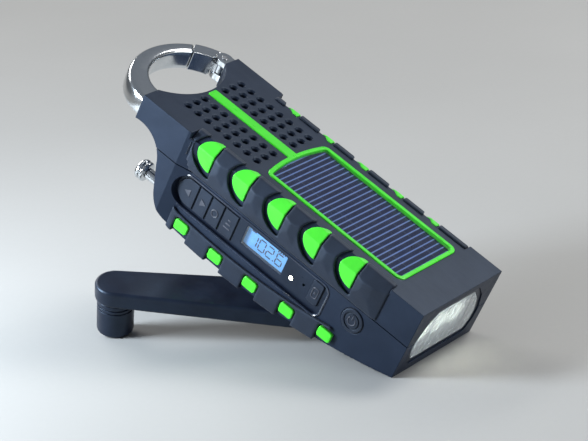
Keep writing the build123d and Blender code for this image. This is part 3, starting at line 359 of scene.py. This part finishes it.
MATERIALS = {
    "shell_plastic": plastic("shell_plastic", NAVY, NAVY_LIT, (0.36, 0.50), soft=0.5, specular=0.36,
                             glint=BLUE_GLINT),
    "bumper_rubber": plastic("bumper_rubber", INK, NAVY, (0.50, 0.66), 1.6, 0.03, 0.5, 0.35, sheen=0.12,
                             glint=BLUE_GLINT),
    "button_rubber": plastic("button_rubber", INK, NAVY, (0.45, 0.60), 2.0, 0.02, 0.3, 0.3, sheen=0.1,
                             glint=BLUE_GLINT),
    "panel_plastic": plastic("panel_plastic", INK, NAVY, (0.26, 0.40), 2.6, 0.010, 0.3, 0.3,
                             glint=BLUE_GLINT),
    "crank_plastic": plastic("crank_plastic", INK, NAVY, (0.30, 0.44), 1.8, 0.016, 0.5, 0.3,
                             glint=BLUE_GLINT),
    # Panel bead: real gloss and coat, with a base lighter than the shell's navy that is a painted highlight along
    # the rim
    "bead_plastic": plastic("bead_plastic", NAVY_LIT, NAVY_PAINTED_HIGHLIGHT, (0.12, 0.20), 2.6, 0.004, 0.15, 0.3,
                            specular=0.9, coat=0.6),
    "green_rubber": plastic("green_rubber", GREEN, GREEN_DEEP, (0.38, 0.52), 1.6, 0.02, 0.5, 0.3,
                            rgb(0.22, 0.85, 0.16), sheen=0.1),
    "green_plastic": plastic("green_plastic", GREEN, GREEN_DEEP, (0.24, 0.36), 2.4, 0.008, 0.25, 0.25,
                             rgb(0.30, 0.90, 0.22), coat=0.3),
    "black_plastic": plastic("black_plastic", rgb(0.012, 0.012, 0.012), rgb(0.020, 0.020, 0.020), wear=0.2),
    "gear_plastic": plastic("gear_plastic", rgb(0.62, 0.58, 0.48), rgb(0.68, 0.65, 0.56), (0.32, 0.45),
                            1.4, 0.012, 0.15, 0.3, rgb(0.30, 0.27, 0.22)),
    "gasket_rubber": plastic("gasket_rubber", rgb(0.008, 0.008, 0.009), rgb(0.014, 0.014, 0.016), (0.6, 0.75),
                             2.0, 0.03, 0.15, 0.2),
    "chrome_metal": metal("chrome_metal", rgb(0.66, 0.68, 0.70), rgb(0.56, 0.59, 0.61), (0.10, 0.22), 0.5),
    "steel_small": metal("steel_small", rgb(0.52, 0.53, 0.55), rgb(0.44, 0.45, 0.47), (0.22, 0.36), 0.25),
    "reflector": metal("reflector", rgb(0.86, 0.88, 0.90), rgb(0.80, 0.83, 0.86), (0.06, 0.16), 0.25,
                       (0.12, 0.12, 0.12), 0.02, 0.05),
    "brass_bush": metal("brass_bush", rgb(0.66, 0.47, 0.18), rgb(0.55, 0.38, 0.14), (0.2, 0.35), 0.2),
    "ferrite": plastic("ferrite", rgb(0.035, 0.033, 0.032), rgb(0.055, 0.052, 0.05), (0.55, 0.75), 1.2, 0.05,
                       0.3, 0.3),
    "solar": solar_material(),
    "clear_window": clear_material("clear_window", rgb(0.94, 0.97, 1.0), show=0.998),
    "torch_lens": clear_material("torch_lens_clear", rgb(0.98, 0.99, 1.0), ("X", 1.6, 0.5), 0.08, 0.10, 0.66),
    "lcd_glass": clear_material("lcd_glass", rgb(0.86, 0.94, 1.0), gloss=0.08, show=0.95),
    "lcd_ground": lcd_material(),
    "lcd_ink": plastic("lcd_ink", rgb(0.006, 0.020, 0.065), rgb(0.010, 0.028, 0.080), (0.4, 0.5), 3.0, 0.004,
                       0.05, 0.1, rgb(0.02, 0.05, 0.1)),
    "print_grey": plastic("print_grey", rgb(0.055, 0.062, 0.085), rgb(0.075, 0.082, 0.105), (0.35, 0.5), 2.0,
                          0.01, 0.12, 0.3, rgb(0.14, 0.15, 0.18)),
    "board": board_material(),
    "cloth": cloth_material(),
    "led_resin": led_material(),
    "battery_wrap": wrap_material(),
}
SPECIAL = {"torch_lens": "torch_lens", "status_light": "led_resin"}


def paint_nodes():
    """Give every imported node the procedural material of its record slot."""
    slots = {entry["node"]: entry["material_slot"] for entry in frame["record"]["subparts"]}
    for name, node in NODES.items():
        look = MATERIALS[SPECIAL.get(name, slots[name])]
        if not node.data.materials:
            node.data.materials.append(look)
        for index in range(len(node.data.materials)):
            node.data.materials[index] = look


# ======== mesh pieces ========

def piece(name, mesh, look, body="root", smooth=35.0):
    """Turn a bmesh in casing millimetres into a finished piece riding a body."""
    mesh.transform(TO_ROW)
    bmesh.ops.recalc_face_normals(mesh, faces=mesh.faces)
    data = bpy.data.meshes.new(name)
    mesh.to_mesh(data)
    mesh.free()
    data.shade_smooth()
    data.set_sharp_from_angle(angle=math.radians(smooth))
    item = bpy.data.objects.new(name, data)
    bpy.context.scene.collection.objects.link(item)
    data.materials.append(MATERIALS[look])
    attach(item, body)
    return item


def rounded_outline(width, height, radius, steps=5):
    """Points of a rounded rectangle round the origin."""
    points = []
    corners = ((1, 1, 0), (-1, 1, 90), (-1, -1, 180), (1, -1, 270))
    for sx, sy, start in corners:
        cx = sx * (width / 2 - radius)
        cy = sy * (height / 2 - radius)
        for i in range(steps + 1):
            angle = math.radians(start + 90 * i / steps)
            points.append((cx + radius * math.cos(angle), cy + radius * math.sin(angle)))
    return points


def shrink(points, amount):
    """Move each point of a convex closed outline inwards along its own normal."""
    result = []
    count = len(points)
    for i, (u, v) in enumerate(points):
        before = points[i - 1]
        after = points[(i + 1) % count]
        du, dv = after[0] - before[0], after[1] - before[1]
        length = math.hypot(du, dv) or 1.0
        result.append((u - dv / length * amount, v + du / length * amount))
    return result


def loft(mesh, rings, cap=True, closed=False):
    """Skin a list of equal-length rings of points."""
    rows = [[mesh.verts.new(point) for point in ring] for ring in rings]
    pairs = list(zip(rows, rows[1:]))
    if closed:
        pairs.append((rows[-1], rows[0]))
    for first, second in pairs:
        count = len(first)
        for i in range(count):
            j = (i + 1) % count
            mesh.faces.new((first[i], first[j], second[j], second[i]))
    if cap and not closed:
        mesh.faces.new(rows[0])
        mesh.faces.new(reversed(rows[-1]))


def pad_on_left(mesh, points, base, top, crown=0.25):
    """Crowned pad standing out to the left of the casing, from (y, z) outline points."""
    steps = ((0.0, base), (0.0, top + crown), (crown * 0.3, top + crown * 0.35), (crown, top))
    rings = []
    for inset, x in steps:
        rings.append([(x, y, z) for y, z in shrink(points, inset)])
    loft(mesh, rings)


def tube_on(mesh, path, radius, closed=True, sides=8):
    """Round bead along a list of 3-D points."""
    rings = []
    count = len(path)
    for i, point in enumerate(path):
        spot = Vector(point)
        after = Vector(path[(i + 1) % count] if closed or i < count - 1 else path[i])
        before = Vector(path[i - 1] if closed or i > 0 else path[i])
        ahead = (after - before).normalized()
        side = ahead.cross(Vector((1, 0, 0)))
        if side.length < 0.1:
            side = ahead.cross(Vector((0, 1, 0)))
        side.normalize()
        lift = side.cross(ahead)
        ring = []
        for k in range(sides):
            angle = 2 * math.pi * k / sides
            ring.append(spot + (side * math.cos(angle) + lift * math.sin(angle)) * radius)
        rings.append(ring)
    loft(mesh, rings, closed=closed)


def panel_outline(grow=0.0, steps=12):
    """Side panel outline in (y, z): round top, small corners below."""
    y0, y1 = PANEL_Y[0] - grow, PANEL_Y[1] + grow
    z0, z1 = PANEL_Z[0] - grow, PANEL_Z[1] + grow
    top = (y1 - y0) / 2 - 0.2
    low = PANEL_FOOT_R + grow
    points = []
    for cy, cz, radius, start in (
        (y1 - top, z1 - top, top, 0), (y0 + top, z1 - top, top, 90),
        (y0 + low, z0 + low, low, 180), (y1 - low, z0 + low, low, 270),
    ):
        for i in range(steps + 1):
            angle = math.radians(start + 90 * i / steps)
            points.append((cy + radius * math.cos(angle), cz + radius * math.sin(angle)))
    return points


# Bead round the control panel; its lighter navy colour is a painted highlight
def panel_bead():
    mesh = bmesh.new()
    path = [(BEAD_X, y, z) for y, z in panel_outline(0.55)]
    tube_on(mesh, path, BEAD_R)
    piece("panel_bead", mesh, "bead_plastic")


def lcd_ground():
    mesh = bmesh.new()
    outline = [(LCD_MIDDLE[0] + u, LCD_MIDDLE[1] + v) for u, v in rounded_outline(*LCD_SIZE, 0.5)]
    pad_on_left(mesh, outline, LCD_X, LCD_X - 0.06, 0.02)
    piece("lcd_ground", mesh, "lcd_ground")


def lcd_digits():
    """Four figures, a decimal point, rising signal bars and a battery mark."""
    mesh = bmesh.new()
    for low, figure in zip(FIGURE_LOWS, FIGURES):
        digit(mesh, FIGURE_Y, low, *FIGURE_SIZE, figure)
    tick(mesh, 26.5, 65.5, 0.55, 0.55)
    for i in range(4):
        tick(mesh, 20.9, 61.4 + 1.1 * i, 0.5 + 0.25 * i, 0.6)
    tick(mesh, 20.9, 77.4, 0.9, 2.2)
    piece("lcd_digits", mesh, "lcd_ink")


SEGMENTS = {
    "a": ((0, 1), (1, 1)), "b": ((1, 1), (1, 0.5)), "c": ((1, 0.5), (1, 0)), "d": ((0, 0), (1, 0)),
    "e": ((0, 0.5), (0, 0)), "f": ((0, 1), (0, 0.5)), "g": ((0, 0.5), (1, 0.5)),
}
LIT = {"0": "abcdef", "1": "bc", "2": "abged", "6": "afgedc"}


def digit(mesh, middle_y, low_z, width, height, figure):
    """Seven-segment figure read with the casing's top to the left, lying along z."""
    for key in LIT[figure]:
        (u0, v0), (u1, v1) = SEGMENTS[key]
        start = (middle_y + height / 2 - v0 * height, low_z + width - u0 * width)
        stop = (middle_y + height / 2 - v1 * height, low_z + width - u1 * width)
        bar_between(mesh, start, stop, STROKE_HALF)


def bar_between(mesh, start, stop, half):
    """Six-sided bar with pointed ends from start to stop in (y, z)."""
    a, b = Vector(start), Vector(stop)
    run = (b - a).normalized()
    side = Vector((-run.y, run.x)) * half
    a, b = a + run * 0.12, b - run * 0.12
    near, far = a + run * half, b - run * half
    outline = (a, near + side, far + side, b, far - side, near - side)
    front = [mesh.verts.new((INK_X, p.x, p.y)) for p in outline]
    back = [mesh.verts.new((INK_X + INK_THICK, p.x, p.y)) for p in outline]
    mesh.faces.new(front)
    mesh.faces.new(reversed(back))
    for i in range(6):
        j = (i + 1) % 6
        mesh.faces.new((front[i], front[j], back[j], back[i]))


def tick(mesh, y, z, height, width):
    """Small rounded block of ink round a (y, z) place."""
    outline = [(y + u, z + v) for u, v in rounded_outline(height, width, min(height, width) * 0.3, 3)]
    rings = [[(x, v, w) for v, w in outline] for x in (INK_X + INK_THICK, INK_X)]
    loft(mesh, rings)


def raised(mesh, points, rise=0.15):
    """Low pad standing out of a key's face."""
    pad_on_left(mesh, points, KEY_FACE + 0.2, KEY_FACE - rise, 0.1)


def mark(name, mesh, body):
    piece(name, mesh, "print_grey", body)


def tune_marks():
    """Arrowheads on the two tuning keys, pointing away from each other."""
    for name, middle, turn in (("tune_up", ARROWS_Z[0], 1), ("tune_down", ARROWS_Z[1], -1)):
        mesh = bmesh.new()
        points = []
        for corner in (90, 210, 330):
            angle = math.radians(corner)
            points.append((KEYS_Y + 1.9 * math.cos(angle), middle + turn * 1.9 * math.sin(angle)))
        if turn < 0:
            points.reverse()
        raised(mesh, points)
        mark(name + "_mark", mesh, name + "_key")


def band_mark():
    """Ring on the band key."""
    mesh = bmesh.new()
    tube_on(mesh, ring_path(KEY_FACE, KEYS_Y, RING_Z, 1.5), 0.28)
    mark("band_mark", mesh, "band_key")


def volume_mark():
    """Three growing bars on the volume key."""
    mesh = bmesh.new()
    y, z = BARS
    for i in range(3):
        bar = rounded_outline(0.7, 1.4 + 1.0 * i, 0.25, 3)
        raised(mesh, [(y + 1.8 * i + u, z + v) for u, v in bar])
    mark("volume_mark", mesh, "volume_key")


def lamp_mark():
    """Lamp outline with a dot on the torch key."""
    mesh = bmesh.new()
    y, z = LAMP_KEY
    tube_on(mesh, [(KEY_FACE, y + u, z + v) for u, v in rounded_outline(4.4, 2.6, 0.9, 4)], 0.24)
    raised(mesh, [(y + u, z + v) for u, v in rounded_outline(1.1, 0.9, 0.35, 4)], 0.2)
    mark("lamp_mark", mesh, "lamp_key")


def power_mark():
    """Open ring with a bar in its gap on the power key."""
    mesh = bmesh.new()
    y, z = POWER_KEY
    tube_on(mesh, ring_path(POWER_FACE, y, z, 1.75, 40, 320), 0.26, closed=False)
    points = [(y - 1.5 + u, z + v) for u, v in rounded_outline(2.0, 0.5, 0.2, 3)]
    pad_on_left(mesh, points, POWER_FACE + 0.08, POWER_FACE - 0.22, 0.1)
    mark("power_mark", mesh, "power_key")


def ring_path(x, y, z, radius, start=0, stop=360, steps=28):
    """Ring of points in the (y, z) plane; an open arc is measured from -y."""
    whole = stop - start >= 360
    count = steps if whole else steps + 1
    points = []
    for i in range(count):
        angle = math.radians(start + (stop - start) * i / steps)
        points.append((x, y - radius * math.cos(angle), z + radius * math.sin(angle)))
    return points


# ---- carabiner bow ----

BOW_OUTER = (29.7, 22.6)
BOW_INNER = (21.0, 16.2)
BOW_SHIFT = 2.0
BOW_Y = (1.0, 10.4)
HORN_TOP = 141.5
GATE_PIVOT = (26.0, 145.0)
GATE_CLEAR = 13.55               # the hook stays this far from the gate's pivot
ROUNDNESS = 0.42                 # 1 is an oval section, towards 0 a rectangular one
TANG_MIDDLE = (-24.4, 5.7)       # the foot that is set into the left horn, as (x, y)
TANG_SIZE = (7.8, 9.3)
TANG_FOOT_Z = 135.1


def arch_point(share, angle):
    """Point between the inner (0) and outer (1) arch at an angle from +x."""
    half_x = BOW_INNER[0] + share * (BOW_OUTER[0] - BOW_INNER[0])
    half_z = BOW_INNER[1] + share * (BOW_OUTER[1] - BOW_INNER[1])
    shift = BOW_SHIFT * (1 - share)
    return shift + half_x * math.cos(angle), HORN_TOP + half_z * math.sin(angle)


def hook_stop(share):
    """Angle at which the hook ends, just clear of the gate's sweep."""
    angle = math.pi / 2
    step = 0.004
    while True:
        x, z = arch_point(share, angle)
        if math.hypot(x - GATE_PIVOT[0], z - GATE_PIVOT[1]) < GATE_CLEAR:
            return angle + step
        angle -= step


def bow_piece():
    """Chromed bow with softly rounded section, tapered to the hook."""
    mesh = bmesh.new()
    steps = 72
    sides = 28
    lanes = 20
    half = (BOW_Y[1] - BOW_Y[0]) / 2
    middle = (BOW_Y[0] + BOW_Y[1]) / 2
    stops = [hook_stop(lane / lanes) for lane in range(lanes + 1)]
    rings = []
    for i in range(steps + 1):
        travel = i / steps
        ease = 1 - 0.12 * max(0.0, (travel - 0.985) / 0.015) ** 2
        ring = []
        for k in range(sides):
            turn = 2 * math.pi * k / sides
            cos, sin = math.cos(turn), math.sin(turn)
            across = math.copysign(abs(cos) ** ROUNDNESS, cos)
            deep = math.copysign(abs(sin) ** ROUNDNESS, sin)
            share = 0.5 + 0.5 * across * ease
            stop = stops[round(share * lanes)]
            angle = math.pi + travel * (stop - math.pi)
            x, z = arch_point(share, angle)
            ring.append((x, middle + half * deep * ease, z))
        rings.append(ring)
    loft(mesh, rings)
    tang = [(TANG_MIDDLE[0] + u, TANG_MIDDLE[1] + v) for u, v in rounded_outline(*TANG_SIZE, 0.8, 4)]
    loft(mesh, [[(x, y, z) for x, y in tang] for z in (TANG_FOOT_Z, HORN_TOP + 0.3)])
    item = piece("chrome_bow", mesh, "chrome_metal", smooth=50)
    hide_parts("carabiner_bow")


# ---- antenna cap ----

def lathe(mesh, profile, x, y, sides=40):
    """Turn an (r, z) profile round an axis along z; the first and last points close it."""
    rings = []
    for r, z in profile:
        turns = [2 * math.pi * k / sides for k in range(sides)]
        rings.append([(x + r * math.cos(turn), y + r * math.sin(turn), z) for turn in turns])
    loft(mesh, rings)


def antenna_cap():
    """Turned cap with a groove round its waist and a crowned top."""
    mesh = bmesh.new()
    profile = (
        (0.2, 131.2), (3.4, 131.2), (4.0, 131.4), (4.25, 131.8), (4.25, 132.5), (3.8, 132.8), (3.8, 133.1),
        (4.25, 133.4), (4.3, 133.9), (4.15, 134.6), (3.7, 135.15), (2.7, 135.5), (1.3, 135.6), (0.2, 135.6),
    )
    lathe(mesh, profile, *ANTENNA_SPOT)
    item = piece("antenna_cap", mesh, "chrome_metal", "antenna_upper", smooth=30)
    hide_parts("antenna_tip")


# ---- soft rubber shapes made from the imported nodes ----

def soften(name, voxel, passes, factor=0.5):
    """Round a node's moulded edges without touching its own mesh."""
    node = NODES[name]
    node.modifiers.new("weld", "WELD").merge_threshold = 0.00001
    net = node.modifiers.new("net", "REMESH")
    net.mode = "VOXEL"
    net.voxel_size = voxel * MM
    net.use_smooth_shade = True
    ease = node.modifiers.new("ease", "SMOOTH")
    ease.factor = factor
    ease.iterations = passes


def soften_all():
    for name in ("left_front_bumper", "right_front_bumper"):
        soften(name, 0.36, 7)
    for name in ("left_rear_bumper", "right_rear_bumper"):
        soften(name, 0.36, 14)
    for name in ("front_edge_pads", "rear_edge_pads"):
        soften(name, 0.24, 6)


# ======== stage, light and camera ========

def area(name, spot, aim, size, power, colour):
    light = bpy.data.lights.new(name, "AREA")
    light.shape = "RECTANGLE"
    light.size, light.size_y = size
    light.energy = power
    light.color = colour
    item = bpy.data.objects.new(name, light)
    item.location = spot
    item.rotation_euler = (Vector(aim) - Vector(spot)).to_track_quat("-Z", "Y").to_euler()
    item.visible_camera = False
    bpy.context.scene.collection.objects.link(item)
    return item


def floor():
    """Plain pale floor sweeping up behind the object on every side."""
    mesh = bmesh.new()
    sides = 64
    rings = []
    for radius, height in ((0.6, 0.0), (1.2, 0.0), (1.8, 0.03), (2.3, 0.16), (2.7, 0.45), (2.9, 0.9)):
        turns = [2 * math.pi * k / sides for k in range(sides)]
        rings.append([(radius * math.cos(turn), radius * math.sin(turn), height) for turn in turns])
    loft(mesh, rings, cap=False)
    mesh.verts.ensure_lookup_table()
    mesh.faces.new([mesh.verts[k] for k in reversed(range(sides))])
    bmesh.ops.recalc_face_normals(mesh, faces=mesh.faces)
    if mesh.faces[-1].normal.z < 0:
        bmesh.ops.reverse_faces(mesh, faces=mesh.faces)
    data = bpy.data.meshes.new("floor")
    mesh.to_mesh(data)
    mesh.free()
    data.shade_smooth()
    item = bpy.data.objects.new("floor", data)
    s = Shade("floor_paper")
    grain = s.noise(0.4, 5.0)
    colour = s.mix(s.span(s.noise(0.004, 3.0), 0.3, 0.7), rgb(0.40, 0.40, 0.39), rgb(0.43, 0.43, 0.42))
    look = s.surface(Base_Color=colour, Roughness=s.span(grain, 0.3, 0.7, 0.75, 0.9),
                     Normal=s.bump(grain, 0.03), Specular_IOR_Level=0.2)
    data.materials.append(look)
    bpy.context.scene.collection.objects.link(item)


def light_up():
    world = bpy.data.worlds.new("studio")
    world.use_nodes = True
    tree = world.node_tree
    tree.nodes["Background"].inputs["Color"].default_value = rgb(0.80, 0.88, 1.0)
    tree.nodes["Background"].inputs["Strength"].default_value = 0.26
    bpy.context.scene.world = world
    aim = (0.0, 0.0, 0.04)
    area("key", (0.75, -0.45, 1.05), aim, (0.5, 0.5), 11.5, (1.0, 0.98, 0.96))
    area("left_fill", (-0.26, 0.26, 0.19), (-0.02, 0.05, 0.08), (0.14, 0.18), 3.2, (0.80, 0.90, 1.0))
    area("back_rim", (0.35, 1.15, 0.80), aim, (0.9, 0.35), 8.0, (1.0, 0.98, 0.95))
    area("torch_side", (0.25, -0.90, 0.16), (0.0, -0.06, 0.03), (0.5, 0.3), 3.0, (1.0, 1.0, 1.0))


CAMERA_SPOT = (-726.8, -502.8, -248.7)
CAMERA_AIM = (1.0, 24.0, 76.0)
CAMERA_UP = (0.263, -0.769, 0.584)
CAMERA_LENS = 150.0


def camera():
    data = bpy.data.cameras.new("camera")
    data.sensor_width = 36.0
    data.lens = CAMERA_LENS
    data.clip_start = 0.01
    item = bpy.data.objects.new("camera", data)
    spot = at(*CAMERA_SPOT)
    away = (spot - at(*CAMERA_AIM)).normalized()
    up = CASING.to_3x3() @ Vector(CAMERA_UP)
    right = up.cross(away).normalized()
    up = away.cross(right)
    turn = Matrix((right, up, away)).transposed().to_4x4()
    item.matrix_world = Matrix.Translation(spot) @ turn
    bpy.context.scene.collection.objects.link(item)
    bpy.context.scene.camera = item


paint_nodes()
panel_bead()
lcd_ground()
lcd_digits()
tune_marks()
band_mark()
volume_mark()
lamp_mark()
power_mark()
bow_piece()
antenna_cap()
soften_all()
floor()
light_up()
camera()
bpy.context.scene.view_settings.view_transform = "Standard"
